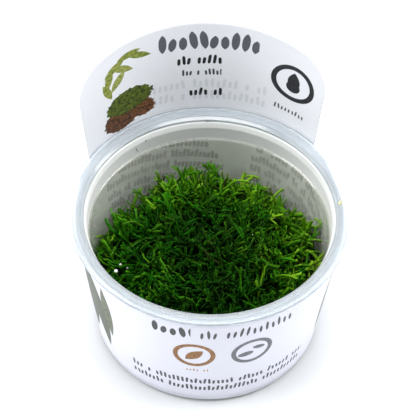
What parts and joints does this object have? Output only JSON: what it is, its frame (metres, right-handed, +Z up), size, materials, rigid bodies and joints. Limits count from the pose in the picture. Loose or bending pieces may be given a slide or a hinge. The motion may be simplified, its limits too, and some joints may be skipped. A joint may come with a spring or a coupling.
{
  "type": "crystalwort in a culture cup",
  "caption": "Dense cushion of forked green aquarium liverwort on gel in a clear round cup, with a printed card sleeve and a tall arched tab.",
  "frame": {"origin": "centre of the cup's base, on the surface that it stands on", "axes": "+Z up through the cup's mouth, +Y towards the standing tab, +X to the right of a viewer who faces the tab over the mouth"},
  "size_m": [0.1014, 0.108, 0.0999],
  "materials": {
    "clear_plastic": "gloss",
    "printed_card": "satin",
    "gel": "satin",
    "plant": "matte"
  },
  "bodies": {
    "root": {"cup": "clear_plastic", "label_sleeve": "printed_card", "nutrient_gel": "gel", "crystalwort": "plant"}
  },
  "joints": []
}
